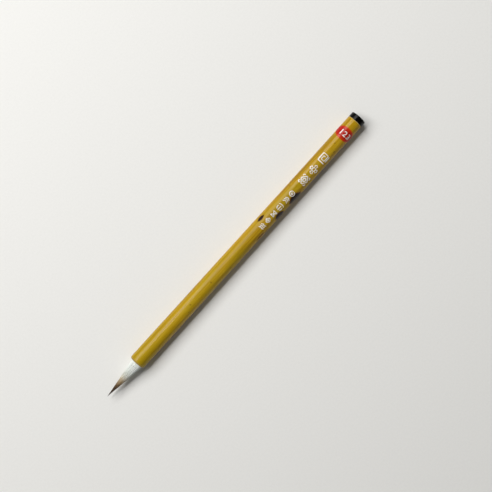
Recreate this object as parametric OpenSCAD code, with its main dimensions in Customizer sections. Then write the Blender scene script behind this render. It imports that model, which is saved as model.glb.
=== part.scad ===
// Small calligraphy brush: a bamboo barrel with a bound tuft of hair glued into its mouth,
// a black plug glued into its butt and a small oval label near the plug.
//
// Frame: millimetres, +Z up. The brush lies on its side along X, hair towards -X. The
// origin is on the surface it lies on, under the middle of its whole length.

/* [Barrel] */
// Length of the bamboo, from mouth to butt
barrel_l = 169.1; // [140:0.1:230]
// Diameter at the mouth, where the hair comes out
mouth_d = 9.0; // [7.5:0.1:12]
// Straight stretch behind the mouth, which a protective cap slides over
mouth_seat_l = 12; // [8:0.5:16]
// Rounding of the mouth's outer edge
mouth_round = 0.4; // [0.2:0.05:0.6]
// Diameter at the slimmest place
slim_d = 8.4; // [7:0.1:11]
// Distance of the slimmest place from the mouth
slim_at = 117.2; // [60:0.2:130]
// Diameter at the butt
butt_d = 8.6; // [7.1:0.1:11.5]
// Straight stretch at the butt, which a holder or a hanging cap slides over
butt_seat_l = 5; // [3:0.5:8]
// Natural hollow down the middle of the bamboo
hollow_d = 2.4; // [1.5:0.1:3.5]

/* [Socket for the hair] */
// Bamboo left between the socket and the mouth's outside, on average
rim_wall = 1.0; // [0.8:0.05:1.4]
// How far the hand-drilled socket lies off the barrel's axis, towards -Y
socket_shift = 0.35; // [0:0.05:0.4]
// Depth of the socket
socket_depth = 12; // [10:0.5:20]

/* [Tuft] */
// Length of hair that shows, from the mouth to the point
tuft_l = 23.4; // [19.5:0.1:30]
// Thickness of the white coat hairs at the mouth
coat_t = 0.6; // [0.4:0.05:0.7]
// Thickness of the waist hairs at the mouth
waist_t = 0.6; // [0.4:0.05:0.7]
// Thickness of the belly hairs at the mouth
belly_t = 0.6; // [0.4:0.05:0.7]
// Thickness of the throat hairs at the mouth
throat_t = 0.65; // [0.4:0.05:0.75]
// How far the waist hairs reach from the mouth
waist_reach = 9; // [7:0.5:10]
// How far the belly hairs reach from the mouth
belly_reach = 13; // [11:0.5:14]
// How far the coat hairs reach from the mouth
coat_reach = 15.2; // [14.5:0.1:16]
// How far the throat hairs reach from the mouth
throat_reach = 18.5; // [17:0.1:19]
// Distance of the bend's centre outside the mouth
bend_out = 1.5; // [1.2:0.1:2]

/* [Root of the hair] */
// How far behind the mouth the fixed root starts
root_setback = 0.8; // [0.6:0.1:1.2]
// Length of the root's loose front, which fills the socket
root_front_l = 3.4; // [2:0.1:4]
// Depth of the waist that the thread pulls into the root
tie_depth = 0.45; // [0.4:0.05:0.6]
// Length of that waist
tie_l = 2.2; // [1.5:0.1:3]
// Distance of the waist from the root's sealed end
tie_from_end = 0.7; // [0.4:0.1:1.5]
// Diameter of the tying thread
thread_d = 0.36; // [0.25:0.01:0.36]
// Thickness of the seared and resin-soaked end of the root
seal_t = 0.7; // [0.4:0.1:1.2]
// Thickness of the glue between root and socket
socket_glue_t = 0.25; // [0.2:0.01:0.3]

/* [Plug] */
// Length of the plug that shows behind the butt
plug_head_l = 3.5; // [2.5:0.1:5]
// How far the plug's head stands in from the bamboo's outside
plug_inset = 0.05; // [0.02:0.01:0.1]
// Rounding of the plug's end
plug_round = 0.7; // [0.3:0.1:1]
// Radius of the plug's domed end
plug_dome_r = 17; // [12:1:40]
// Diameter of the bore in the butt
plug_bore_d = 5.2; // [4:0.1:6]
// Depth of that bore
plug_bore_depth = 9; // [6:0.5:12]
// Space left at the bottom of that bore
plug_bottom_gap = 0.5; // [0.3:0.1:0.9]
// Thickness of the glue around the plug's tenon
plug_glue_t = 0.2; // [0.18:0.01:0.3]

/* [Label] */
// Length of the label along the barrel
label_l = 7.2; // [5:0.1:8]
// Width of the label around the barrel, measured on the curve
label_w = 12.6; // [10:0.1:18]
// Thickness of the label
label_t = 0.1; // [0.08:0.01:0.12]
// Distance from the label's middle to the butt
label_from_butt = 8.8; // [8.6:0.1:20]
// How far the label's middle is turned from the top towards -Y, in degrees
label_turn = 5; // [0:1:90]

/* [Fits] */
// Clearance between pieces that fill the same bore, on the radius
fit_gap = 0.05; // [0.04:0.01:0.06]
// Clearance between neighbouring layers of hair
layer_gap = 0.04; // [0.03:0.01:0.06]
// Clearance between the hair and the socket's edge, on the radius
tuft_gap = 0.08; // [0.06:0.01:0.12]
// Clearance of the moving tuft's round rear from the socket's edge
ball_gap = 0.2; // [0.15:0.01:0.25]
// Clearance of the moving tuft's round rear from the cup in the fixed root
cup_gap = 0.15; // [0.12:0.01:0.2]

/* [Hidden] */
$fn = 96;

mouth_r = mouth_d / 2;
slim_r = slim_d / 2;
butt_r = butt_d / 2;
axis_z = max(mouth_r, slim_r, butt_r);

// Stations along X
tip_x = -(tuft_l + barrel_l + plug_head_l) / 2;
mouth_x = tip_x + tuft_l;
butt_x = mouth_x + barrel_l;
plug_end_x = butt_x + plug_head_l;

// Socket and root
socket_r = mouth_r - rim_wall;
socket_end_x = mouth_x + socket_depth;
glued_root_r = socket_r - fit_gap - socket_glue_t;
tie_r = glued_root_r - tie_depth;
root_x = mouth_x + root_setback;
root_step_x = root_x + root_front_l;
seal_end_x = socket_end_x - fit_gap;
root_end_x = seal_end_x - seal_t - fit_gap;
tie_end_x = root_end_x - tie_from_end;
tie_x = tie_end_x - tie_l;

// Bend of the tuft: a ball centred outside the mouth, clear of the socket's edge
bend_x = mouth_x - bend_out;
ball_r = sqrt(pow(socket_r, 2) + pow(bend_out, 2)) - ball_gap;
cup_r = ball_r + cup_gap;

// Layers of hair: outer radius at the mouth, from the outside in
hair_edge = 0.12;
coat_r = socket_r - tuft_gap;
waist_r = coat_r - coat_t;
belly_r = waist_r - waist_t;
throat_r = belly_r - belly_t;
tip_r = throat_r - throat_t;

waist_end_x = mouth_x - waist_reach;
belly_end_x = mouth_x - belly_reach;
coat_end_x = mouth_x - coat_reach;
throat_end_x = mouth_x - throat_reach;

// The whole tuft is a straight cone from the mouth to the point
function coat_at(x) = coat_r * (x - tip_x) / tuft_l;
function line_at(x, r0, x0, r1, x1) = r0 + (r1 - r0) * (x - x0) / (x1 - x0);

// Each layer ends in a thin edge on the layer inside it
throat_end_r = coat_at(coat_end_x) - hair_edge - layer_gap;
tip_end_r = coat_at(throat_end_x) - hair_edge - layer_gap;
function throat_at(x) = line_at(x, throat_r, mouth_x, throat_end_r, coat_end_x);
belly_end_r = throat_at(belly_end_x) + layer_gap + hair_edge;
function belly_at(x) = line_at(x, belly_r, mouth_x, belly_end_r, belly_end_x);
waist_end_r = belly_at(waist_end_x) + layer_gap + hair_edge;

// Plug
plug_head_r = butt_r - plug_inset;
plug_bore_r = plug_bore_d / 2;
tenon_r = plug_bore_r - fit_gap - plug_glue_t;
tenon_end_x = butt_x - plug_bore_depth + plug_bottom_gap;

// Label
label_x = butt_x - label_from_butt;
label_in_r = butt_r + fit_gap;
label_out_r = label_in_r + label_t;
label_half_angle = label_w / 2 / label_in_r * 180 / PI;
label_steps = 48;

// Outlines are drawn with the radius across and the station along X upwards, and are
// turned about an axis parallel to X, shifted sideways towards -Y.
module turned(shift = 0) {
    translate([0, -shift, axis_z]) rotate([0, 90, 0]) rotate_extrude() children();
}

// A stretch of tube between two stations
module tube_outline(inner_r, outer_r, from_x, to_x) {
    translate([inner_r, from_x]) square([outer_r - inner_r, to_x - from_x]);
}

// What is left outside a rounded corner at the lower end of an outline
module low_corner(r, x, rounding) {
    difference() {
        translate([r - rounding, x - 1]) square([rounding + 1, rounding + 1]);
        translate([r - rounding, x + rounding]) circle(rounding);
    }
}

module barrel_outline() {
    difference() {
        polygon([[0, mouth_x], [mouth_r, mouth_x], [mouth_r, mouth_x + mouth_seat_l],
            [slim_r, mouth_x + slim_at], [butt_r, butt_x - butt_seat_l], [butt_r, butt_x],
            [0, butt_x]]);
        low_corner(mouth_r, mouth_x, mouth_round);
    }
}

// Bamboo tube: a socket for the hair, the plant's own hollow and a bore for the plug
module barrel() {
    hollow_r = hollow_d / 2;
    plug_bore_x = butt_x - plug_bore_depth;
    color("darkgoldenrod") difference() {
        turned() barrel_outline();
        turned(socket_shift) tube_outline(0, socket_r, mouth_x - 1, socket_end_x);
        turned() tube_outline(0, hollow_r, socket_end_x - 1, plug_bore_x + 1);
        turned() tube_outline(0, plug_bore_r, plug_bore_x, butt_x + 1);
    }
}

// Domed head with a tenon
module end_plug() {
    color("black") turned() {
        difference() {
            intersection() {
                tube_outline(0, plug_head_r, butt_x, plug_end_x);
                translate([0, plug_end_x - plug_dome_r]) circle(plug_dome_r, $fn = 256);
            }
            mirror([0, 1]) low_corner(plug_head_r, -plug_end_x, plug_round);
        }
        tube_outline(0, tenon_r, tenon_end_x, butt_x + 0.1);
    }
}

module plug_adhesive() {
    color("khaki") turned()
        tube_outline(tenon_r + fit_gap, plug_bore_r - fit_gap, tenon_end_x, butt_x - 0.5);
}

// Four corners of the label's section at one step around the barrel
function label_section(i) =
    let (turn = label_turn - label_half_angle * cos(180 * i / label_steps))
    let (half_l = label_l / 2 * sin(180 * i / label_steps))
    [for (corner = [[-half_l, label_in_r], [-half_l, label_out_r],
                    [half_l, label_out_r], [half_l, label_in_r]])
        [label_x + corner[0], -corner[1] * sin(turn), axis_z + corner[1] * cos(turn)]];

// Oval sticker wrapped over the top of the barrel
module label() {
    sections = [for (i = [1 : label_steps - 1]) label_section(i)];
    last = len(sections) - 1;
    walls = [for (s = [0 : last - 1]) for (c = [0 : 3])
        let (a = 4 * s + c, b = 4 * s + (c + 1) % 4)
        each [[a, a + 4, b], [b, a + 4, b + 4]]];
    ends = [[0, 1, 2, 3], [for (c = [3 : -1 : 0]) 4 * last + c]];
    color("crimson") polyhedron([for (s = sections) each s], concat(walls, ends));
}

// Bound root: it fills the socket at the front, where it is hollowed to a cup for the
// tuft, and it is pulled to a waist by the thread near its end
module hair_root() {
    color("tan") turned(socket_shift) difference() {
        polygon([[0, root_x], [coat_r, root_x], [coat_r, root_step_x],
            [glued_root_r, root_step_x], [glued_root_r, tie_x], [tie_r, tie_x],
            [tie_r, tie_end_x], [glued_root_r, tie_end_x], [glued_root_r, root_end_x],
            [0, root_end_x]]);
        translate([0, bend_x]) intersection() {
            circle(cup_r);
            translate([0, -cup_r]) square([cup_r + 1, 2 * cup_r]);
        }
    }
}

// Turns of thread side by side in the root's waist
module root_thread() {
    pitch = thread_d + 0.04;
    turns = floor(tie_l / pitch);
    start_x = (tie_x + tie_end_x - (turns - 1) * pitch) / 2;
    ring_r = tie_r + fit_gap + thread_d / 2;
    for (i = [0 : turns - 1])
        color("linen") turned(socket_shift)
            translate([ring_r, start_x + i * pitch]) circle(thread_d / 2);
}

module root_seal() {
    color("saddlebrown") turned(socket_shift)
        tube_outline(0, glued_root_r - fit_gap, root_end_x + fit_gap, seal_end_x);
}

module socket_adhesive() {
    color("khaki") turned(socket_shift)
        tube_outline(glued_root_r + fit_gap, socket_r - fit_gap,
            root_step_x + fit_gap, root_end_x);
}

// A layer of hair, clipped behind the bend's centre to the ball it turns on. Its outline
// comes as points that start behind the mouth.
module hair_layer(outline) {
    turned(socket_shift) intersection() {
        polygon(outline);
        union() {
            translate([0, bend_x]) circle(ball_r);
            translate([0, tip_x - 1]) square([ball_r, bend_x - tip_x + 1]);
        }
    }
}

rear_x = mouth_x + ball_r;

// Longest hairs, which make the point
module tip_hairs() {
    color("saddlebrown") hair_layer([[0, rear_x], [tip_r, rear_x], [tip_r, mouth_x],
        [tip_end_r, throat_end_x], [0, tip_x]]);
}

module throat_hairs() {
    in_r = tip_r + layer_gap;
    color("sienna") hair_layer([[in_r, rear_x], [throat_r, rear_x], [throat_r, mouth_x],
        [throat_end_r, coat_end_x], [tip_end_r + layer_gap + hair_edge, throat_end_x],
        [tip_end_r + layer_gap, throat_end_x], [in_r, mouth_x]]);
}

module belly_hairs() {
    in_r = throat_r + layer_gap;
    color("burlywood") hair_layer([[in_r, rear_x], [belly_r, rear_x], [belly_r, mouth_x],
        [belly_end_r, belly_end_x], [belly_end_r - hair_edge, belly_end_x],
        [in_r, mouth_x]]);
}

module waist_hairs() {
    in_r = belly_r + layer_gap;
    color("wheat") hair_layer([[in_r, rear_x], [waist_r, rear_x], [waist_r, mouth_x],
        [waist_end_r, waist_end_x], [waist_end_r - hair_edge, waist_end_x],
        [in_r, mouth_x]]);
}

// White outer hairs, which cover the shorter layers and end short of the point
module coat_hairs() {
    in_r = waist_r + layer_gap;
    color("white") hair_layer([[in_r, rear_x], [coat_r, rear_x], [coat_r, mouth_x],
        [coat_at(coat_end_x), coat_end_x], [throat_end_r + layer_gap, coat_end_x],
        [belly_end_r + layer_gap, belly_end_x], [waist_end_r + layer_gap, waist_end_x],
        [in_r, mouth_x]]);
}

barrel();
end_plug();
plug_adhesive();
label();
hair_root();
root_thread();
root_seal();
socket_adhesive();
tip_hairs();
throat_hairs();
belly_hairs();
waist_hairs();
coat_hairs();
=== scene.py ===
"""A small calligraphy brush lying on a pale floor.

Varnished bamboo barrel, a tuft of white and brown hair glued into its mouth, a black plug
in its butt, a red oval label and painted ornaments. The brush lies along X with its hair
towards -X. Lengths are metres, and those written times MM are millimetres.
"""

import math
import random

import bmesh
import bpy
import numpy as np
from mathutils import Matrix, Vector, noise


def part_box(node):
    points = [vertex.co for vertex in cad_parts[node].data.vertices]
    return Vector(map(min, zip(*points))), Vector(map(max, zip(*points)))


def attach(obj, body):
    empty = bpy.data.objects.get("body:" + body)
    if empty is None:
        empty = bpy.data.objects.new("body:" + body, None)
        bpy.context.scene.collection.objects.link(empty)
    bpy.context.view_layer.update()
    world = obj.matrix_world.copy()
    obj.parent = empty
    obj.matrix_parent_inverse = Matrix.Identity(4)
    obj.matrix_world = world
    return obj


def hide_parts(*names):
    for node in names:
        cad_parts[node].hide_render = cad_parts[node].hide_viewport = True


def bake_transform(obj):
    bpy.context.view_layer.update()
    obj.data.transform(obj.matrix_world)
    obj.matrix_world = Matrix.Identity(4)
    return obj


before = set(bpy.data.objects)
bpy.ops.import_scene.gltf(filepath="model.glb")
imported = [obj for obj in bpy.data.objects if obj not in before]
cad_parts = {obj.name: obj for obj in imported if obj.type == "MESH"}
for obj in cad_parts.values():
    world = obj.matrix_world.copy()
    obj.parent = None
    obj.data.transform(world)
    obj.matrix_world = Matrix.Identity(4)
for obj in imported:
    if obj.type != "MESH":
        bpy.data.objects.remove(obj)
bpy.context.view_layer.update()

MM = 0.001

# ---------------------------------------------------------------- places from the frame

barrel_low, barrel_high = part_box("barrel")
plug_low, plug_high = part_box("end_plug")
label_low, label_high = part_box("label")
point_low, point_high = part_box("tip_hairs")
coat_low, coat_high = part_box("coat_hairs")

MOUTH_X = barrel_low.x
BUTT_X = barrel_high.x
AXIS_Z = (barrel_low.z + barrel_high.z) / 2
MOUTH_R = (barrel_high.z - barrel_low.z) / 2
TIP_X = point_low.x
TUFT_Y = (point_low.y + point_high.y) / 2
TUFT_R = (coat_high.z - coat_low.z) / 2
TUFT_L = MOUTH_X - TIP_X
LABEL_X = (label_low.x + label_high.x) / 2
LABEL_HALF_L = (label_high.x - label_low.x) / 2

# ---------------------------------------------------------------- sizes of the pieces

CAP_SEAT_L = 12 * MM
SLIM_AT = 117.2 * MM
SLIM_R = 4.2 * MM
BUTT_R = 4.3 * MM
BUTT_SEAT_L = 5 * MM
MOUTH_ROUND_L = 1.7 * MM
MOUTH_ROUND_R = 0.55 * MM
MOUTH_EDGE = 0.08 * MM
BUTT_EDGE = 0.3 * MM
BARREL_RINGS = 188
SOCKET_R = 3.5 * MM
SOCKET_L = 12 * MM
HOLLOW_R = 1.2 * MM
PLUG_BORE_R = 2.6 * MM
PLUG_BORE_L = 9 * MM
TENON_R = 2.35 * MM
PLUG_HEAD_R = 4.25 * MM
PLUG_DOME_R = 17 * MM
PLUG_ROUND = 0.75 * MM
PLUG_EDGE = 0.12 * MM
LABEL_HALF_W = 6.3 * MM
LABEL_T = 0.1 * MM
LABEL_SUNK = 0.05 * MM
LABEL_TURN = math.radians(5)
HAIR_REAR_X = MOUTH_X + 0.7 * MM

# Steps around a turned piece, and how near two vertices are to count as one
SEGMENTS = 160
MERGE = 0.002 * MM


def barrel_radius(x):
    """Radius of the bamboo: straight at both ends, slimmest past the middle."""
    stations = [MOUTH_X + CAP_SEAT_L, MOUTH_X + SLIM_AT, BUTT_X - BUTT_SEAT_L]
    return float(np.interp(x, stations, [MOUTH_R, SLIM_R, BUTT_R]))


def cone_radius(from_tip):
    """Radius of the whole tuft at a distance from its point."""
    return TUFT_R * min(from_tip / TUFT_L, 1.0)


def from_axis(place, centre_y=0.0):
    """Distance from the barrel's axis, or from a line parallel to it."""
    return math.hypot(place.y - centre_y, place.z - AXIS_Z)


# ---------------------------------------------------------------- shared mesh steps


def add_object(name, data):
    """A new object at the origin, in the scene."""
    item = bpy.data.objects.new(name, data)
    bpy.context.scene.collection.objects.link(item)
    return item


def spin_outline(bm, points, centre_y=0.0, spacing=1.0, segments=SEGMENTS):
    """Turns an outline of (x, radius) points, cut to a spacing, about a line parallel to X."""
    chain = [bm.verts.new((x, centre_y, AXIS_Z + radius)) for x, radius in points]
    for edge in [bm.edges.new(pair) for pair in zip(chain, chain[1:])]:
        cuts = int(edge.calc_length() / spacing)
        if cuts:
            bmesh.ops.subdivide_edges(bm, edges=[edge], cuts=cuts)
    wire = [v for v in bm.verts if not v.link_faces]
    wire += [e for e in bm.edges if not e.link_faces]
    bmesh.ops.spin(
        bm, geom=wire, cent=(0, centre_y, AXIS_Z), axis=(1, 0, 0), angle=math.tau,
        steps=segments, use_merge=True)


def bevel_edges(bm, edges, offset, segments):
    bmesh.ops.bevel(
        bm, geom=edges, offset=offset, offset_type="OFFSET", segments=segments,
        profile=0.5, affect="EDGES", material=-1, clamp_overlap=True)


def rim_edges(bm, x, radius, centre_y=0.0):
    """Edges of the circle at a station and radius."""
    near = 0.01 * MM

    def on_rim(v):
        return abs(v.co.x - x) < near and abs(from_axis(v.co, centre_y) - radius) < near

    return [e for e in bm.edges if all(on_rim(v) for v in e.verts)]


def thicken_down(bm, faces, bottom_z):
    """Gives flat faces a body down to a height. Returns the new vertices."""
    shell = bmesh.ops.extrude_face_region(bm, geom=faces, use_keep_orig=True)
    bottom = [v for v in shell["geom"] if isinstance(v, bmesh.types.BMVert)]
    for v in bottom:
        v.co.z = bottom_z
    return bottom


def wrap_on_barrel(verts, place_x, turn):
    """Lays flat geometry on the bamboo: x runs along it, y around it, z is its height."""
    for v in verts:
        x = place_x + v.co.x
        radius = barrel_radius(x)
        angle = turn + v.co.y / radius
        radius += v.co.z
        v.co = (x, radius * math.sin(angle), AXIS_Z + radius * math.cos(angle))


def make_piece(bm, name, materials, sharp=40):
    """Turns a finished bmesh into a smooth shaded object at the origin."""
    bmesh.ops.recalc_face_normals(bm, faces=bm.faces[:])
    mesh = bpy.data.meshes.new(name)
    bm.to_mesh(mesh)
    bm.free()
    mesh.shade_smooth()
    mesh.set_sharp_from_angle(angle=math.radians(sharp))
    for material in materials:
        mesh.materials.append(material)
    piece = add_object(name, mesh)
    return piece


# ---------------------------------------------------------------- shared material steps

# A Mix node's sockets for colours
SHARE, FIRST, SECOND, MIXED = 0, 6, 7, 2
COLOURS = {"data_type": "RGBA"}
SMOOTH = {"interpolation_type": "SMOOTHSTEP"}


def linear(hex_colour):
    """An sRGB hex colour as the linear RGBA that shaders take."""
    shares = [int(hex_colour[i:i + 2], 16) / 255 for i in (1, 3, 5)]
    return [c / 12.92 if c <= 0.04045 else ((c + 0.055) / 1.055) ** 2.4 for c in shares] + [1]


def feed(tree, node, inputs):
    """Sets a node's inputs, by name or number: a socket is linked, anything else is set."""
    for key, value in inputs.items():
        if isinstance(value, bpy.types.NodeSocket):
            tree.links.new(value, node.inputs[key])
        else:
            node.inputs[key].default_value = value


def add(tree, kind, inputs=None, stops=None, **settings):
    """Adds a node with its settings and links, and returns its outputs.

    stops are a colour ramp's (place, hex colour) pairs.
    """
    node = tree.nodes.new("ShaderNode" + kind)
    for name, value in settings.items():
        setattr(node, name, value)
    if stops:
        elements = node.color_ramp.elements
        while len(elements) < len(stops):
            elements.new(1.0)
        for element, (place, colour) in zip(elements, stops):
            element.position = place
            element.color = linear(colour)
    feed(tree, node, inputs or {})
    return node.outputs


def new_material(name):
    """A material with its node tree and its Principled shader."""
    material = bpy.data.materials.new(name)
    material.use_nodes = True
    return material, material.node_tree, material.node_tree.nodes["Principled BSDF"]


def millimetres(tree):
    """Object coordinates in millimetres from the barrel's axis."""
    place = add(tree, "TexCoord")["Object"]
    return add(tree, "Mapping", {
        "Vector": place, "Location": (0, 0, -AXIS_Z / MM), "Scale": (1 / MM,) * 3,
    })["Vector"]


def streaks(tree, place, length, width, detail=3.0, seed=0.0):
    """Noise drawn out along the barrel, with streaks of a length and width in mm."""
    stretched = add(tree, "Mapping", {
        "Vector": place, "Location": (seed, seed, seed),
        "Scale": (1 / length, 1 / width, 1 / width),
    })["Vector"]
    return add(tree, "TexNoise", {"Vector": stretched, "Scale": 1.0, "Detail": detail})["Fac"]


# ---------------------------------------------------------------- materials

# Radius in mm at which the bamboo's skin is unrolled, to place marks on it
UNROLL_R = 4.25
# How far in mm the outlines of marks waver
WAVER = 0.9

# Smoke marks on the bamboo: station, place around the barrel towards +Y, half length,
# half width, all in mm, and how dark they are
SMOKE_MARKS = [
    (24.2, 2.75, 2.5, 0.95, 0.95),
    (31.9, -4.6, 3.3, 2.0, 0.92),
    (43.9, -4.6, 4.3, 2.7, 1.0),
    (17.0, -4.4, 3.4, 0.6, 0.5),
    (21.6, -4.9, 2.4, 0.5, 0.3),
    (-28.0, 10.4, 5.2, 1.3, 0.8),
    (8.0, 11.8, 3.0, 1.0, 0.6),
    (63.0, -10.6, 4.4, 1.6, 0.85),
]

# Small specks: station, place around, half length, half width and darkness
SPECKS = [
    (-33.3, -0.55, 0.5, 0.35, 0.6),
    (-17.7, -0.8, 0.55, 0.4, 0.5),
    (-36.7, -2.6, 0.5, 0.35, 0.4),
    (-5.2, -3.7, 0.45, 0.3, 0.4),
    (78.7, 0.0, 0.5, 0.35, 0.6),
    (75.2, -3.0, 0.5, 0.4, 0.5),
    (46.9, 2.9, 0.6, 0.3, 0.45),
    (5.0, 9.0, 0.7, 0.5, 0.5),
]


def spots(tree, flat, marks, edge):
    """Darkness of lens-shaped marks with pointed ends on the unrolled barrel."""
    total = 0.0
    for station, around, half_l, half_w, dark in marks:
        offset = add(tree, "VectorMath", {0: flat, 1: (station, around, 0)},
                     operation="SUBTRACT")["Vector"]
        shares = add(tree, "VectorMath", {0: offset, 1: (1 / half_l, 1 / half_w, 0)},
                     operation="MULTIPLY")["Vector"]
        parts = add(tree, "SeparateXYZ", {"Vector": shares})
        along = add(tree, "Math", {0: parts["X"], 1: parts["X"]}, operation="MULTIPLY")["Value"]
        across = add(tree, "Math", {0: parts["Y"]}, operation="ABSOLUTE")["Value"]
        reach = add(tree, "Math", {0: along, 1: across}, operation="ADD")["Value"]
        spot = add(tree, "MapRange", {
            "Value": reach, "From Min": 1.0 + edge, "From Max": 1.0 - edge, "To Max": dark,
        }, **SMOOTH)["Result"]
        total = add(tree, "Math", {0: spot, 1: total}, operation="MAXIMUM")["Value"]
    return total


def bamboo_skin():
    """Smoked bamboo under clear varnish: golden brown with long fibres and dark smoke marks.

    The varnish is glossy near both ends and rubbed duller between them, where it is held.
    """
    material, tree, shader = new_material("smoked_bamboo_varnished")
    place = millimetres(tree)
    parts = add(tree, "SeparateXYZ", {"Vector": place})
    angle = add(tree, "Math", {0: parts["Y"], 1: parts["Z"]}, operation="ARCTAN2")["Value"]
    around = add(tree, "Math", {0: angle, 1: UNROLL_R}, operation="MULTIPLY")["Value"]
    flat = add(tree, "CombineXYZ", {"X": parts["X"], "Y": around})["Vector"]
    # fibres, broad bands of tone and a slow drift of colour
    fine = streaks(tree, place, 16, 0.35, seed=3.1)
    broad = streaks(tree, place, 70, 1.7, detail=2.0, seed=11.7)
    drift = streaks(tree, place, 34, 9, detail=2.0, seed=5.3)
    bands = add(tree, "Math", {0: broad, 1: 0.55}, operation="MULTIPLY")["Value"]
    tone = add(tree, "Math", {0: fine, 1: 0.45, 2: bands}, operation="MULTIPLY_ADD")["Value"]
    golden = add(tree, "ValToRGB", {"Fac": tone}, stops=[
        (0.25, "#7A5A08"), (0.42, "#A8800E"), (0.55, "#BC9618"), (0.75, "#D2B03A")])["Color"]
    # greener in patches, and towards the mouth
    patches = add(tree, "MapRange", {
        "Value": drift, "From Min": 0.46, "From Max": 0.68, "To Max": 0.4,
    }, **SMOOTH)["Result"]
    forward = add(tree, "MapRange", {
        "Value": parts["X"], "From Min": -25, "From Max": -75, "To Max": 0.35,
    }, **SMOOTH)["Result"]
    greener = add(tree, "Math", {0: patches, 1: forward}, operation="ADD")["Value"]
    olive = add(tree, "Mix", {
        SHARE: greener, FIRST: golden, SECOND: linear("#A08E10")}, **COLOURS)[MIXED]
    wobble = add(tree, "TexNoise", {"Vector": flat, "Scale": 0.9, "Detail": 3.0})["Color"]
    warped = add(tree, "VectorMath", {0: wobble, 1: (WAVER, WAVER, 0), 2: flat},
                 operation="MULTIPLY_ADD")["Vector"]
    centred = add(tree, "VectorMath", {0: warped, 1: (WAVER / 2, WAVER / 2, 0)},
                  operation="SUBTRACT")["Vector"]
    # a smoke mark is brown at its edge and nearly black inside
    smoke = spots(tree, centred, SMOKE_MARKS, 0.42)
    browned = add(tree, "MapRange", {"Value": smoke, "From Max": 0.45}, **SMOOTH)["Result"]
    charred = add(tree, "MapRange", {
        "Value": smoke, "From Min": 0.4, "From Max": 0.85}, **SMOOTH)["Result"]
    scorched = add(tree, "Mix", {
        SHARE: browned, FIRST: olive, SECOND: linear("#744608")}, **COLOURS)[MIXED]
    blackened = add(tree, "Mix", {
        SHARE: charred, FIRST: scorched, SECOND: linear("#241003")}, **COLOURS)[MIXED]
    specks = spots(tree, centred, SPECKS, 0.5)
    speckled = add(tree, "Mix", {
        SHARE: specks, FIRST: blackened, SECOND: linear("#5A3510")}, **COLOURS)[MIXED]
    # painted shade on the rounded mouth rim: the colour turns darker and greyer over its last 1.4
    # mm
    mouth_rim_shade = add(tree, "MapRange", {
        "Value": parts["X"], "From Min": MOUTH_X / MM + 1.4, "From Max": MOUTH_X / MM + 0.2,
        "To Max": 0.5}, **SMOOTH)["Result"]
    rim_shaded = add(tree, "Mix", {
        SHARE: mouth_rim_shade, FIRST: speckled, SECOND: linear("#A08A5C")}, **COLOURS)[MIXED]
    front = add(tree, "MapRange", {
        "Value": parts["X"], "From Min": -42, "From Max": -6}, **SMOOTH)["Result"]
    back = add(tree, "MapRange", {
        "Value": parts["X"], "From Min": 52, "From Max": 44}, **SMOOTH)["Result"]
    held = add(tree, "Math", {0: front, 1: back}, operation="MULTIPLY")["Value"]
    dull = add(tree, "Math", {0: held, 1: 0.15, 2: 0.14}, operation="MULTIPLY_ADD")["Value"]
    rubbed = add(tree, "Math", {0: fine, 1: 0.14, 2: dull}, operation="MULTIPLY_ADD")["Value"]
    relief = add(tree, "Bump", {"Height": tone, "Strength": 1.0, "Distance": 0.035 * MM})
    feed(tree, shader, {
        "Base Color": rim_shaded, "Roughness": rubbed, "IOR": 1.29, "Normal": relief["Normal"]})
    return material


def cut_bamboo():
    """Sawn bamboo end, not varnished: pale straw with brown dots of fibre bundles."""
    material, tree, shader = new_material("cut_bamboo")
    place = millimetres(tree)
    # bundles about 0.4 mm apart, and sawdust of 0.1 mm
    cells = add(tree, "TexVoronoi", {"Vector": place, "Scale": 2.6}, feature="F1")["Distance"]
    straw = add(tree, "ValToRGB", {"Fac": cells}, stops=[
        (0.12, "#8A6426"), (0.3, "#CDB066"), (0.7, "#DFC684")])["Color"]
    grit = add(tree, "TexNoise", {"Vector": place, "Scale": 9.0, "Detail": 4.0})["Color"]
    dusty = add(tree, "Mix", {SHARE: 0.25, FIRST: straw, SECOND: grit},
                blend_type="SOFT_LIGHT", **COLOURS)[MIXED]
    relief = add(tree, "Bump", {"Height": cells, "Strength": 1.0, "Distance": 0.05 * MM})
    feed(tree, shader, {
        "Base Color": dusty, "Roughness": 0.62, "IOR": 1.45, "Normal": relief["Normal"]})
    return material


def black_gloss_plastic():
    """Moulded black polystyrene, tumbled glossy: deep black with fine rings and wear."""
    material, tree, shader = new_material("black_gloss_plastic")
    place = millimetres(tree)
    # wear in patches of 0.2 mm, and rings 0.14 mm wide
    wear = add(tree, "TexNoise", {
        "Vector": place, "Scale": 5.0, "Detail": 6.0, "Roughness": 0.75})["Fac"]
    squeezed = add(tree, "Mapping", {"Vector": place, "Scale": (7, 0.3, 0.3)})["Vector"]
    rings = add(tree, "TexNoise", {"Vector": squeezed, "Scale": 1.0, "Detail": 3.0})["Fac"]
    black = add(tree, "ValToRGB", {"Fac": wear}, stops=[
        (0.35, "#020202"), (0.75, "#070706")])["Color"]
    gloss = add(tree, "MapRange", {
        "Value": rings, "From Min": 0.3, "From Max": 0.75, "To Min": 0.16, "To Max": 0.26,
    }, **SMOOTH)["Result"]
    relief = add(tree, "Bump", {"Height": rings, "Strength": 1.0, "Distance": 0.006 * MM})
    feed(tree, shader, {
        "Base Color": black, "Roughness": gloss, "IOR": 1.22, "Normal": relief["Normal"]})
    return material


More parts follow.
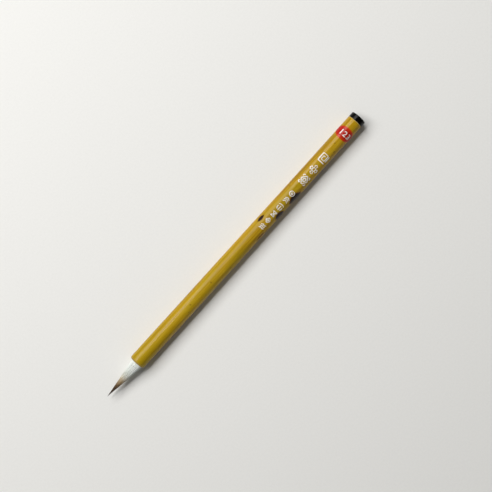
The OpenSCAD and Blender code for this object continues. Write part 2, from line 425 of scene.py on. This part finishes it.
def red_label_paper():
    """Gloss coated sticker paper printed red: deep in the middle, more orange at its ends."""
    material, tree, shader = new_material("red_label_paper")
    place = millimetres(tree)
    parts = add(tree, "SeparateXYZ", {"Vector": place})
    along = add(tree, "Math", {0: parts["X"], 1: LABEL_X / MM}, operation="SUBTRACT")["Value"]
    from_middle = add(tree, "Math", {0: along}, operation="ABSOLUTE")["Value"]
    end = add(tree, "MapRange", {
        "Value": from_middle, "From Min": 1.6, "From Max": 3.4}, **SMOOTH)["Result"]
    # mottled ink in patches of 0.8 mm, and paper fibre of 0.14 mm
    ink = add(tree, "TexNoise", {"Vector": place, "Scale": 1.3, "Detail": 5.0})["Fac"]
    fibre = add(tree, "TexNoise", {"Vector": place, "Scale": 7.0, "Detail": 3.0})["Fac"]
    red = add(tree, "ValToRGB", {"Fac": ink}, stops=[
        (0.3, "#A21005"), (0.6, "#BC1E0C")])["Color"]
    printed = add(tree, "Mix", {
        SHARE: end, FIRST: red, SECOND: linear("#CC3C12")}, **COLOURS)[MIXED]
    gloss = add(tree, "MapRange", {
        "Value": fibre, "From Min": 0.3, "From Max": 0.7, "To Min": 0.2, "To Max": 0.32,
    }, **SMOOTH)["Result"]
    relief = add(tree, "Bump", {"Height": fibre, "Strength": 1.0, "Distance": 0.008 * MM})
    feed(tree, shader, {
        "Base Color": printed, "IOR": 1.33, "Roughness": gloss, "Normal": relief["Normal"]})
    return material


def white_paint(name, clean, worn, wear):
    """White lacquer paint, brushed on, tinted by what is under it where it has worn thin."""
    material, tree, shader = new_material(name)
    place = millimetres(tree)
    # worn patches of 0.6 mm
    patches = add(tree, "TexNoise", {
        "Vector": place, "Scale": 1.8, "Detail": 5.0, "Roughness": 0.65})["Fac"]
    thin = add(tree, "MapRange", {
        "Value": patches, "From Min": 0.72 - wear, "From Max": 0.82 - wear,
    }, **SMOOTH)["Result"]
    colour = add(tree, "Mix", {
        SHARE: thin, FIRST: linear(clean), SECOND: linear(worn)}, **COLOURS)[MIXED]
    gloss = add(tree, "MapRange", {
        "Value": patches, "From Min": 0.3, "From Max": 0.7, "To Min": 0.3, "To Max": 0.5,
    }, **SMOOTH)["Result"]
    relief = add(tree, "Bump", {"Height": patches, "Strength": 1.0, "Distance": 0.02 * MM})
    feed(tree, shader, {
        "Base Color": colour, "IOR": 1.5, "Roughness": gloss, "Normal": relief["Normal"]})
    return material


def hair(name, stops, dark_tone, light_tone):
    """Fine straight animal hair: its colour changes along the tuft, and hairs differ in tone."""
    material, tree, shader = new_material(name)
    strand = add(tree, "UVMap", uv_map="strand_map")["UV"]
    parts = add(tree, "SeparateXYZ", {"Vector": strand})
    along = add(tree, "ValToRGB", {"Fac": parts["X"]}, stops=stops)["Color"]
    tone = add(tree, "ValToRGB", {"Fac": parts["Y"]}, stops=[
        (0.0, dark_tone), (1.0, light_tone)])["Color"]
    colour = add(tree, "Mix", {SHARE: 1.0, FIRST: along, SECOND: tone},
                 blend_type="MULTIPLY", **COLOURS)[MIXED]
    feed(tree, shader, {
        "Base Color": colour, "Roughness": 0.42, "IOR": 1.45, "Sheen Weight": 0.12,
        "Sheen Roughness": 0.4})
    return material


def hard_mass(name, dark, light, roughness, scale):
    """A set mass, such as resin or dry glue: mottled in patches of 1 / scale mm, and pitted."""
    material, tree, shader = new_material(name)
    place = millimetres(tree)
    mottle = add(tree, "TexNoise", {
        "Vector": place, "Scale": scale, "Detail": 4.0})["Fac"]
    colour = add(tree, "ValToRGB", {"Fac": mottle}, stops=[(0.35, dark), (0.65, light)])["Color"]
    relief = add(tree, "Bump", {"Height": mottle, "Strength": 1.0, "Distance": 0.04 * MM})
    feed(tree, shader, {
        "Base Color": colour, "Roughness": roughness, "IOR": 1.5, "Normal": relief["Normal"]})
    return material


def hemp_thread():
    """Twisted hemp: straw coloured, with the slant of its plies, about 0.4 mm long."""
    material, tree, shader = new_material("hemp_thread")
    place = millimetres(tree)
    plies = add(tree, "TexWave", {"Vector": place, "Scale": 1.6, "Distortion": 1.5},
                bands_direction="DIAGONAL")["Fac"]
    colour = add(tree, "ValToRGB", {"Fac": plies}, stops=[
        (0.2, "#A8936A"), (0.8, "#DCCDA6")])["Color"]
    relief = add(tree, "Bump", {"Height": plies, "Strength": 1.0, "Distance": 0.05 * MM})
    feed(tree, shader, {
        "Base Color": colour, "Roughness": 0.8, "Sheen Weight": 0.2, "Normal": relief["Normal"]})
    return material


def packed_hair():
    """Hair packed hard and glued: fine brown and cream lines along the root."""
    material, tree, shader = new_material("packed_hair")
    place = millimetres(tree)
    lines = streaks(tree, place, 9, 0.14, seed=2.0)
    colour = add(tree, "ValToRGB", {"Fac": lines}, stops=[
        (0.35, "#6B5236"), (0.5, "#B49A70"), (0.65, "#DACBA8")])["Color"]
    relief = add(tree, "Bump", {"Height": lines, "Strength": 1.0, "Distance": 0.05 * MM})
    feed(tree, shader, {
        "Base Color": colour, "Roughness": 0.55, "Normal": relief["Normal"]})
    return material


def floor_paper():
    """Matt paper sweep: pale and warm, with barely any tooth.

    Far beyond the brush it glows at the walls' level, as a sweep with its own light does.
    """
    material, tree, shader = new_material("floor_paper")
    place = add(tree, "TexCoord")["Object"]
    # tooth of 1.1 mm, as this pattern is in metres
    tooth = add(tree, "TexNoise", {"Vector": place, "Scale": 900.0, "Detail": 3.0})["Fac"]
    colour = add(tree, "ValToRGB", {"Fac": tooth}, stops=[
        (0.2, "#EBEAE6"), (0.8, "#EFEEEA")])["Color"]
    away = add(tree, "VectorMath", {0: place}, operation="LENGTH")["Value"]
    far = add(tree, "MapRange", {
        "Value": away, "From Min": 0.2, "From Max": 0.8}, **SMOOTH)["Result"]
    lit = add(tree, "Mix", {
        SHARE: far, FIRST: colour, SECOND: linear("#000000")}, **COLOURS)[MIXED]
    feed(tree, shader, {
        "Base Color": lit, "Roughness": 0.9, "Specular IOR Level": 0.1,
        "Emission Color": linear(HORIZON), "Emission Strength": far})
    return material


# ---------------------------------------------------------------- barrel, plug and label

# Bamboo's grooves: depth, length and how often they change over the barrel's radius
FINE_GROOVE, FINE_GROOVE_L, FINE_PLACES = 0.012 * MM, 40 * MM, 9
BROAD_GROOVE, BROAD_GROOVE_L, BROAD_PLACES = 0.02 * MM, 25 * MM, 1.6
GROOVE_STOP = 0.4 * MM
GROOVE_FADE_L = 2 * MM
SKIN_T = 0.05 * MM


def sink_grooves(bm):
    """Presses the shallow lengthwise grooves of bamboo into the barrel's outside."""
    for v in bm.verts:
        across = Vector((0, v.co.y, v.co.z - AXIS_Z))
        to_end = min(v.co.x - MOUTH_X - MOUTH_ROUND_L, BUTT_X - v.co.x - GROOVE_STOP)
        if to_end < 0 or across.length < barrel_radius(v.co.x) - SKIN_T:
            continue
        side = across.normalized()
        fine = noise.noise(Vector((
            v.co.x / FINE_GROOVE_L, side.y * FINE_PLACES, side.z * FINE_PLACES)))
        broad = noise.noise(Vector((
            v.co.x / BROAD_GROOVE_L, side.y * BROAD_PLACES, side.z * BROAD_PLACES + 7)))
        depth = FINE_GROOVE * (fine + 1) + BROAD_GROOVE * (broad + 1)
        v.co -= side * (depth * min(to_end / GROOVE_FADE_L, 1.0))


def bamboo_barrel():
    """Bamboo tube with an off-centre socket, its own hollow and a bore for the plug."""
    bm = bmesh.new()
    steps = 8
    rounding = [math.radians(90 * i / steps) for i in range(steps)]
    outside = [(MOUTH_X + MOUTH_ROUND_L * (1 - math.cos(a)),
                MOUTH_R - MOUTH_ROUND_R * (1 - math.sin(a))) for a in rounding]
    outside += [(x, barrel_radius(x))
                for x in np.linspace(MOUTH_X + MOUTH_ROUND_L, BUTT_X, BARREL_RINGS)]
    socket_end = MOUTH_X + SOCKET_L
    bore_x = BUTT_X - PLUG_BORE_L
    inside = [(BUTT_X, PLUG_BORE_R), (bore_x, PLUG_BORE_R), (bore_x, HOLLOW_R),
              (socket_end, HOLLOW_R), (socket_end, SOCKET_R), (MOUTH_X, SOCKET_R)]
    spin_outline(bm, outside + inside + outside[:1])
    bmesh.ops.remove_doubles(bm, verts=bm.verts[:], dist=MERGE)
    for v in bm.verts:
        # the socket is bored to one side of the bamboo's own middle
        if v.co.x < socket_end + MERGE and abs(from_axis(v.co) - SOCKET_R) < MERGE:
            v.co.y += TUFT_Y
    bevel_edges(bm, rim_edges(bm, MOUTH_X, SOCKET_R, TUFT_Y), MOUTH_EDGE, 2)
    bevel_edges(bm, rim_edges(bm, BUTT_X, BUTT_R), BUTT_EDGE, 2)
    sink_grooves(bm)
    for face in bm.faces:
        middle = face.calc_center_median()
        skin_r = barrel_radius(middle.x) - MOUTH_ROUND_R - 0.02 * MM
        sawn = middle.x > BUTT_X - BUTT_EDGE + 0.01 * MM
        face.material_index = 1 if sawn or from_axis(middle) < skin_r else 0
    piece = make_piece(bm, "bamboo_barrel", [bamboo_skin(), cut_bamboo()])
    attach(piece, "handle")
    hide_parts("barrel")


def black_plug():
    """Domed plug head, nearly flush with the bamboo, with its tenon in the bore."""
    bm = bmesh.new()
    dome_steps = 14
    dome = [PLUG_HEAD_R * (1 - i / dome_steps) for i in range(dome_steps + 1)]
    outline = [(plug_low.x, 0), (plug_low.x, TENON_R), (BUTT_X, TENON_R), (BUTT_X, PLUG_HEAD_R)]
    outline += [(plug_high.x - PLUG_DOME_R + math.sqrt(PLUG_DOME_R**2 - r**2), r) for r in dome]
    head_end = outline[4][0]
    spin_outline(bm, outline, spacing=0.8 * MM)
    bmesh.ops.remove_doubles(bm, verts=bm.verts[:], dist=MERGE)
    bevel_edges(bm, rim_edges(bm, head_end, PLUG_HEAD_R), PLUG_ROUND, 8)
    bevel_edges(bm, rim_edges(bm, BUTT_X, PLUG_HEAD_R), PLUG_EDGE, 3)
    bmesh.ops.remove_doubles(bm, verts=bm.verts[:], dist=MERGE)
    piece = make_piece(bm, "black_plug", [black_gloss_plastic()])
    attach(piece, "handle")
    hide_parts("end_plug")


def oval_label():
    """Oval sticker wrapped over the top of the barrel, with a soft rolled edge."""
    bm = bmesh.new()
    bmesh.ops.create_grid(bm, x_segments=30, y_segments=72, size=1)
    for v in bm.verts:
        # a square grid drawn in to a disc
        x, y = v.co.x, v.co.y
        v.co.x = x * math.sqrt(1 - y * y / 2)
        v.co.y = y * math.sqrt(1 - x * x / 2)
        # the sticker thins towards its edge, where it is pressed down
        v.co.z = LABEL_T * math.sqrt(max(0.0, 1 - 0.75 * (v.co.x**2 + v.co.y**2)**6))
    bmesh.ops.scale(bm, vec=(LABEL_HALF_L, LABEL_HALF_W, 1), verts=bm.verts[:])
    thicken_down(bm, bm.faces[:], -LABEL_SUNK)
    wrap_on_barrel(bm.verts, LABEL_X, -LABEL_TURN)
    piece = make_piece(bm, "oval_label", [red_label_paper()])
    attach(piece, "handle")
    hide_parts("label")


# Plain counting numbers on the label, with their places around the barrel in degrees,
# towards +Y from its top
NUMBERS = [("1", 22), ("2", -9), ("3", -42)]
NUMBER_H = 3.0 * MM
NUMBER_SHIFT = -0.2 * MM
NUMBER_TOP = 0.15 * MM
NUMBER_BOTTOM = 0.05 * MM
NUMBER_BOLD = 0.04 * MM
# A figure stands lower than its font's size
FONT_SIZE = NUMBER_H * 1.4


def label_numbers():
    """Raised white figures, bold and plain, read across the barrel."""
    bm = bmesh.new()
    for figure, degrees in NUMBERS:
        curve = bpy.data.curves.new("figure", "FONT")
        curve.body = figure
        curve.align_x = "CENTER"
        curve.align_y = "CENTER"
        curve.size = FONT_SIZE
        curve.offset = NUMBER_BOLD
        text = add_object("figure", curve)
        bpy.context.view_layer.update()
        flat_mesh = bpy.data.meshes.new_from_object(
            text.evaluated_get(bpy.context.evaluated_depsgraph_get()))
        bpy.data.objects.remove(text)
        one = bmesh.new()
        one.from_mesh(flat_mesh)
        bmesh.ops.remove_doubles(one, verts=one.verts[:], dist=MERGE)
        bmesh.ops.dissolve_limit(one, angle_limit=0.01, verts=one.verts[:], edges=one.edges[:])
        # cuts across the figure let it follow the curve
        steps = 16
        for i in range(1, steps):
            across = (i / steps - 0.5) * NUMBER_H
            bmesh.ops.bisect_plane(one, geom=one.verts[:] + one.edges[:] + one.faces[:],
                                   plane_co=(across, 0, 0), plane_no=(1, 0, 0))
        for v in one.verts:
            v.co.z = NUMBER_TOP
        thicken_down(one, one.faces[:], NUMBER_BOTTOM)
        bmesh.ops.rotate(one, cent=(0, 0, 0), matrix=Matrix.Rotation(-math.pi / 2, 3, "Z"),
                         verts=one.verts[:])
        wrap_on_barrel(one.verts, LABEL_X + NUMBER_SHIFT, math.radians(degrees))
        one.to_mesh(flat_mesh)
        one.free()
        bm.from_mesh(flat_mesh)
    paint = white_paint("white_label_ink", "#F2EEE8", "#E6CFC6", 0.1)
    piece = make_piece(bm, "label_numbers", [paint])
    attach(piece, "handle")


# ---------------------------------------------------------------- painted ornaments

STROKE_CELL_L = 0.18 * MM
PAINT_SUNK = 0.06 * MM
PAINT_T = 0.012 * MM
# Strokes that cross differ a little in height, so that their tops don't meet
PAINT_STEP = 0.0015 * MM
PAINT_LEVELS = 8


def legs(*points):
    """The straight strokes between points in turn."""
    return [list(pair) for pair in zip(points, points[1:])]


def arc(radius, start=0, end=356, around=0.0):
    """A round stroke, as points on an arc in degrees. A full ring stays open by a little."""
    steps = max(6, int(abs(end - start) / 12))
    angles = [math.radians(start + (end - start) * i / steps) for i in range(steps + 1)]
    return [(radius * math.cos(a), around + radius * math.sin(a)) for a in angles]


def wave(along, height):
    """A stroke that waves across the barrel."""
    return [(along + height * math.sin(b * 6), b) for b in np.linspace(-0.95, 0.95, 20)]


# Ornaments drawn in strokes. A point is (along, around), each from -1 to 1.
LARGE_ORNAMENTS = [
    legs((-1, 0), (0, 0.95), (1, 0), (0, -0.95), (-1, 0))
    + legs((-0.45, 0), (0, 0.42), (0.45, 0), (0, -0.42), (-0.45, 0))
    + [leg for b in (1, -1) for a in (1, -1)
       for leg in legs((0.95 * a, 0.5 * b), (0.95 * a, 0.95 * b), (0.55 * a, 0.95 * b))],
    [arc(0.4)]
    + [[(0.58 * math.cos(a), 0.58 * math.sin(a)), (math.cos(a), math.sin(a))]
       for a in [math.radians(22.5 + 45 * i) for i in range(8)]]
    + [arc(0.98, middle - 14, middle + 14) for middle in (0, 90, 180, 270)],
    legs((-0.9, -0.95), (-0.9, 0.9), (0.95, 0.9), (0.95, -0.55), (-0.4, -0.55), (-0.4, 0.4),
         (0.45, 0.4), (0.45, -0.1))
    + legs((-0.4, -0.95), (0.95, -0.95)),
]
SMALL_ORNAMENTS = [
    [arc(0.88), arc(0.28)],
    legs((-0.9, -0.9), (-0.25, 0), (-0.9, 0.9)) + legs((-0.25, -0.9), (0.4, 0), (-0.25, 0.9))
    + legs((0.4, -0.9), (1, 0), (0.4, 0.9)),
    [arc(1.35, -48, 48)]
    + legs((-1, 0), (0.9, 0))
    + [arc(0.95, 60, 150, around=-0.1), arc(0.95, 210, 300, around=0.1)],
    legs((-0.85, -0.8), (-0.85, 0.8), (0.85, -0.8), (0.85, 0.8), (-0.85, -0.8)),
    legs((-0.95, 0), (0, 0.85), (0.95, 0), (0, -0.85), (-0.95, 0)) + [arc(0.2)],
    [wave(-0.65, 0.16), wave(0, 0.16), wave(0.65, 0.16)],
]


def brush_stroke(bm, path, width, top, rng):
    """One painted stroke: a thin closed ribbon along a path, with rounded uneven edges."""
    points = np.array(path, float)
    lengths = np.concatenate([[0], np.cumsum(np.hypot(*np.diff(points, axis=0).T))])

    def along(share):
        return np.array([np.interp(share * lengths[-1], lengths, points[:, k]) for k in (0, 1)])

    cells = max(4, int(lengths[-1] / STROKE_CELL_L))
    grid = bmesh.ops.create_grid(bm, x_segments=cells, y_segments=2, size=1)["verts"]
    phase = rng.uniform(0, 50)
    for v in grid:
        share = (v.co.x + 1) / 2
        heading = along(min(share + 0.02, 1)) - along(max(share - 0.02, 0))
        heading /= np.linalg.norm(heading)
        end = abs(v.co.x) ** 10
        uneven = 1 + 0.22 * noise.noise(Vector((share * cells * 0.35, phase, v.co.y)))
        half = width / 2 * uneven * math.sqrt(max(0.0, 1 - 0.8 * end))
        flat = along(share) + np.array([-heading[1], heading[0]]) * v.co.y * half
        v.co = (flat[0], flat[1], top)
    faces = list({f for v in grid for f in v.link_faces})
    return list(grid) + thicken_down(bm, faces, -PAINT_SUNK)


def painted_ornaments(name, ornaments, stations, half_l, half_w, around, width, seed, paint):
    """A row of ornaments brushed on the bamboo."""
    rng = random.Random(seed)
    bm = bmesh.new()
    for station, ornament in zip(stations, ornaments):
        for number, stroke in enumerate(ornament):
            path = [(a * half_l, b * half_w) for a, b in stroke]
            top = PAINT_T + PAINT_STEP * (number % PAINT_LEVELS)
            verts = brush_stroke(bm, path, width * rng.uniform(0.85, 1.15), top, rng)
            wrap_on_barrel(verts, station, around / barrel_radius(station))
    piece = make_piece(bm, name, [paint])
    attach(piece, "handle")


# ---------------------------------------------------------------- hair

# Distances from the point of the tuft
COAT_BASE_END = 12.4 * MM
UNDER_BASE_END = 14.0 * MM
CORE_STRAND_START = 14 * MM
REAR = HAIR_REAR_X - TIP_X
# The closed bases that the strands lie on: their share of the tuft's radius, the gaps
# between them, and how thick they are at their thin end
BASE_SHARE = 0.955
CORE_SHARE = 0.93
COAT_GAP = 0.03 * MM
BASE_GAP = 0.04 * MM
BASE_EDGE = 0.12 * MM
# Ridges on the bases: depth, length and how often they change over the radius
RIDGE, RIDGE_L, RIDGE_PLACES = 0.05 * MM, 30 * MM, 14
# Real hairs are about 0.07 mm thick. These are drawn coarser, so that they show.
COAT_HAIR_R = 0.085 * MM
CORE_HAIR_R = 0.07 * MM
COAT_STRANDS = 520
CORE_STRANDS = 300
STRAND_CUTS = 13
TUFT_SEGMENTS = 144
# Turning by this angle from one strand to the next spreads them evenly
GOLDEN_ANGLE = 2.399963


def coat_inner(from_tip):
    """Inner radius of the white coat, which thins towards its end."""
    thickness = np.interp(from_tip, [COAT_BASE_END, TUFT_L], [BASE_EDGE, 0.6 * MM])
    return BASE_SHARE * cone_radius(from_tip) - thickness


def under_inner(from_tip):
    """Inner radius of the shorter hair under the coat."""
    thickness = np.interp(from_tip, [UNDER_BASE_END, TUFT_L], [BASE_EDGE, 1.15 * MM])
    return coat_inner(from_tip) - BASE_GAP - thickness


def core_outer(from_tip):
    """Outer radius of the brown hair, which is bare near the point."""
    if from_tip > UNDER_BASE_END:
        return under_inner(from_tip) - BASE_GAP
    return min(BASE_SHARE * cone_radius(from_tip), max(
        coat_inner(COAT_BASE_END) - COAT_GAP, CORE_SHARE * cone_radius(from_tip) - BASE_EDGE))


def spin_layer(bm, outline):
    """Turns a layer of the tuft from (distance from the point, radius) and ridges it."""
    points = [(TIP_X + from_tip, radius) for from_tip, radius in outline]
    spin_outline(bm, points, TUFT_Y, spacing=0.6 * MM, segments=TUFT_SEGMENTS)
    bmesh.ops.remove_doubles(bm, verts=bm.verts[:], dist=MERGE)
    for v in bm.verts:
        side = Vector((0, v.co.y - TUFT_Y, v.co.z - AXIS_Z))
        if side.length > 0.2 * MM:
            angle = math.atan2(side.y, side.z)
            ridge = noise.noise(Vector((v.co.x / RIDGE_L, math.cos(angle) * RIDGE_PLACES,
                                        math.sin(angle) * RIDGE_PLACES)))
            v.co -= side.normalized() * (RIDGE * (ridge + 1) / 2 * side.length / TUFT_R)


def spin_shell(bm, thin_end, outer, inner):
    """Turns a closed layer from its thin end to its rear, between two radii."""
    steps = [thin_end + (REAR - thin_end) * i / 10 for i in range(11)]
    outline = [(d, outer(d)) for d in steps] + [(d, inner(d)) for d in reversed(steps)]
    spin_layer(bm, outline + outline[:1])


def lay_strands(bm, count, radius, start_from_tip, ends_from_tip, sunk, rng):
    """Lays tapered hairs along the cone. Returns each vertex's tone."""
    tones = {}
    hairs = []
    tag = bm.verts.layers.int.new("hair")
    for number in range(count):
        cone = bmesh.ops.create_cone(bm, cap_ends=True, segments=4, radius1=1, radius2=0.3,
                                     depth=2)["verts"]
        for v in cone:
            v[tag] = number + 1
        hairs.append({
            "angle": (number + rng.uniform(-0.4, 0.4)) * GOLDEN_ANGLE,
            "start": start_from_tip * rng.uniform(0.97, 1.0),
            "end": ends_from_tip(rng),
            "depth": rng.uniform(0.0, 0.1),
            "swing": rng.uniform(-0.07, 0.07),
            "phase": rng.uniform(0, 20),
            "thick": radius * rng.uniform(0.7, 1.15),
            "tone": rng.random(),
        })
    sides = [e for e in bm.edges if e.verts[0][tag] and abs(e.verts[0].co.z - e.verts[1].co.z) > 1]
    bmesh.ops.subdivide_edges(bm, edges=sides, cuts=STRAND_CUTS, use_grid_fill=True)
    for v in bm.verts:
        if not v[tag]:
            continue
        one = hairs[v[tag] - 1]
        share = (v.co.z + 1) / 2
        from_tip = one["start"] + (one["end"] - one["start"]) * share
        cone = cone_radius(from_tip)
        fine = one["thick"] * (0.3 + 0.7 * cone / TUFT_R) * (1 - 0.6 * share**3)
        wander = noise.noise(Vector((share * 2.5, one["phase"], 1)))
        angle = one["angle"] + one["swing"] * share * 2 + 0.12 * wander
        centre = max(cone * (1 - one["depth"] * share - sunk(from_tip)) - fine, 0.0)
        across = v.co.x * fine
        out = centre + v.co.y * fine
        swung = angle + across / max(out, 0.25 * MM)
        v.co = (TIP_X + from_tip, TUFT_Y + out * math.sin(swung),
                AXIS_Z + out * math.cos(swung))
        tones[v] = one["tone"]
    return tones


def map_strands(bm, tones):
    """Writes the strand map: how far along the tuft a point is, and its hair's tone."""
    layer = bm.loops.layers.uv.new("strand_map")
    for face in bm.faces:
        for loop in face.loops:
            v = loop.vert
            along = (v.co.x - TIP_X) / TUFT_L
            if v in tones:
                tone = tones[v]
            else:
                angle = math.atan2(v.co.y - TUFT_Y, v.co.z - AXIS_Z)
                tone = 0.5 + 0.5 * noise.noise(Vector((math.cos(angle) * 20,
                                                      math.sin(angle) * 20, 3)))
            loop[layer].uv = (along, tone)


def bend_with_tuft(piece):
    """Bakes the hair's placement into its mesh, at the origin."""
    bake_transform(piece)


def white_coat_hair():
    """Goat hair around the outside, in staggered lengths that leave the point bare."""
    bm = bmesh.new()
    rng = random.Random(41)
    spin_shell(bm, COAT_BASE_END, lambda d: BASE_SHARE * cone_radius(d), coat_inner)
    tones = lay_strands(bm, COAT_STRANDS, COAT_HAIR_R, REAR,
                        lambda r: r.triangular(7.8, 15.5, 12.5) * MM, lambda d: 0.0, rng)
    map_strands(bm, tones)
    goat = hair("white_goat_hair", [
        (0.32, "#A39170"), (0.44, "#C6B898"), (0.53, "#D8CDB8"), (0.63, "#E4E4DB"),
        (0.76, "#F0F3EF"), (1.0, "#F6F9F6")], "#E2E4DF", "#FFFFFF")
    piece = make_piece(bm, "white_coat_hair", [goat], sharp=60)
    bend_with_tuft(piece)
    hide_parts("coat_hairs")


def under_hair():
    """Shorter cream hair between the coat and the core."""
    bm = bmesh.new()
    spin_shell(bm, UNDER_BASE_END, lambda d: coat_inner(d) - COAT_GAP, under_inner)
    map_strands(bm, {})
    cream = hair("cream_wool_hair", [(0.5, "#CFC3A6"), (1.0, "#D8CDB2")], "#D8D4C8", "#FFFFFF")
    piece = make_piece(bm, "under_hair", [cream], sharp=60)
    bend_with_tuft(piece)
    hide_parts("waist_hairs", "belly_hairs")


def brown_core_hair():
    """Weasel hair, which makes the point: tan where it leaves the coat, dark at its end."""
    bm = bmesh.new()
    rng = random.Random(7)
    steps = [REAR * i / 24 for i in range(25)]
    outline = [(0.25 * MM, 0)] + [(d, core_outer(d)) for d in steps[1:]] + [(REAR, 0)]
    spin_layer(bm, outline)
    tones = lay_strands(bm, CORE_STRANDS, CORE_HAIR_R, CORE_STRAND_START,
                        lambda r: r.triangular(0.0, 4.5, 0.4) * MM,
                        lambda d: float(np.interp(d / MM, [7, 10, 14], [0, 0.06, 0.3])), rng)
    map_strands(bm, tones)
    weasel = hair("brown_weasel_hair", [
        (0.0, "#2A201C"), (0.1, "#4E3B30"), (0.25, "#604834"), (0.36, "#866A44"),
        (0.44, "#AC946C"), (0.52, "#D4C6A6"), (0.6, "#DACFB6")], "#ACA094", "#FFFFFF")
    piece = make_piece(bm, "brown_core_hair", [weasel], sharp=60)
    bend_with_tuft(piece)
    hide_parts("tip_hairs", "throat_hairs")


# ---------------------------------------------------------------- inner pieces


def finish_inner_nodes():
    """Gives the construction's hidden pieces their own finishes."""
    finishes = {
        "hair_root": packed_hair(),
        "root_thread": hemp_thread(),
        "root_seal": hard_mass("pine_resin", "#3E220C", "#6B4218", 0.3, 1.2),
        "socket_adhesive": hard_mass("dry_hide_glue", "#B39A58", "#D6C388", 0.4, 0.9),
    }
    finishes["plug_adhesive"] = finishes["socket_adhesive"]
    for node, material in finishes.items():
        for material_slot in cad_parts[node].material_slots:
            material_slot.material = material


# ---------------------------------------------------------------- studio

FILL_LEVEL = 0.12
HORIZON = "#DAD8D2"
LAMP_L = 1.1
LAMP_DISTANCE = 1.1
# Each lamp's width, lean from straight overhead in degrees, and watts
LAMPS = {"wide_softbox": (0.62, 38, 11.4), "narrow_strip": (0.07, 22, 2.7)}
CAMERA_PLACE = Vector((4.77, -21.35, 669.4)) * MM
CAMERA_TARGET = Vector((8.5, -1.226, 0)) * MM
CAMERA_SLANT = math.radians(47.876)
CAMERA_LENS = 93.585
CAMERA_SENSOR = 36


def studio_floor():
    bm = bmesh.new()
    bmesh.ops.create_grid(bm, x_segments=4, y_segments=4, size=3)
    mesh = bpy.data.meshes.new("studio_floor")
    bm.to_mesh(mesh)
    bm.free()
    mesh.materials.append(floor_paper())
    floor = add_object("studio_floor", mesh)


def softbox(name, width, lean, watts):
    """A long rectangular lamp over the +Y side, leaning from straight overhead."""
    lamp = bpy.data.lights.new(name, "AREA")
    lamp.shape = "RECTANGLE"
    lamp.size = LAMP_L
    lamp.size_y = width
    lamp.energy = watts
    away = Vector((0, math.sin(lean), math.cos(lean))) * LAMP_DISTANCE
    holder = add_object(name, lamp)
    holder.matrix_world = Matrix.Translation(away) @ Matrix.Rotation(-lean, 4, "X")


def studio_world():
    """An even low fill. What the camera and reflections see has pale walls, a dark ceiling."""
    world = bpy.data.worlds.new("studio")
    bpy.context.scene.world = world
    world.use_nodes = True
    tree = world.node_tree
    tree.nodes.clear()
    ray = add(tree, "TexCoord")["Generated"]
    height = add(tree, "SeparateXYZ", {"Vector": ray})["Z"]
    walls = add(tree, "ValToRGB", {"Fac": height}, stops=[
        (0.0, HORIZON), (0.1, "#A8A6A0"), (0.4, "#242424"), (1.0, "#161616")])["Color"]
    path = add(tree, "LightPath")
    direct = add(tree, "Math", {0: path["Is Camera Ray"], 1: path["Is Glossy Ray"]},
                 operation="MAXIMUM")["Value"]
    seen = add(tree, "Math", {0: direct, 1: path["Is Transmission Ray"]},
               operation="MAXIMUM")["Value"]
    fill = [FILL_LEVEL, FILL_LEVEL, FILL_LEVEL, 1]
    colour = add(tree, "Mix", {SHARE: seen, FIRST: fill, SECOND: walls}, **COLOURS)[MIXED]
    background = add(tree, "Background", {"Color": colour})["Background"]
    add(tree, "OutputWorld", {"Surface": background})


def studio_camera():
    """Looks down on the brush, which lies slanting from lower left to upper right."""
    back = (CAMERA_PLACE - CAMERA_TARGET).normalized()
    slant = Vector((math.sin(CAMERA_SLANT), math.cos(CAMERA_SLANT), 0))
    right = slant.cross(back).normalized()
    data = bpy.data.cameras.new("camera")
    data.lens = CAMERA_LENS
    data.sensor_width = CAMERA_SENSOR
    camera = add_object("camera", data)
    turn = Matrix((right, back.cross(right), back)).transposed().to_4x4()
    camera.matrix_world = Matrix.Translation(CAMERA_PLACE) @ turn
    bpy.context.scene.camera = camera


# ---------------------------------------------------------------- the scene

# Where the ornaments stand along the barrel
LARGE_STATIONS = [x * MM for x in (54.0, 61.3, 69.0)]
SMALL_STATIONS = [x * MM for x in (44.5, 40.1, 34.8, 30.4, 26.0, 21.7)]

studio_camera()
for lamp_name, (lamp_width, lamp_lean, lamp_watts) in LAMPS.items():
    softbox(lamp_name, lamp_width, math.radians(lamp_lean), lamp_watts)
studio_world()
studio_floor()
bamboo_barrel()
black_plug()
oval_label()
label_numbers()
carved_paint = white_paint("white_carving_paint", "#F0EEE8", "#C2B796", 0.13)
painted_ornaments(
    "large_ornaments", LARGE_ORNAMENTS, LARGE_STATIONS, half_l=2.55 * MM, half_w=2.2 * MM,
    around=-0.95 * MM, width=0.5 * MM, seed=5, paint=carved_paint)
painted_ornaments(
    "small_ornaments", SMALL_ORNAMENTS, SMALL_STATIONS, half_l=1.5 * MM, half_w=1.6 * MM,
    around=-1.05 * MM, width=0.42 * MM, seed=6, paint=carved_paint)
white_coat_hair()
under_hair()
brown_core_hair()
finish_inner_nodes()
bpy.context.scene.view_settings.view_transform = "Standard"
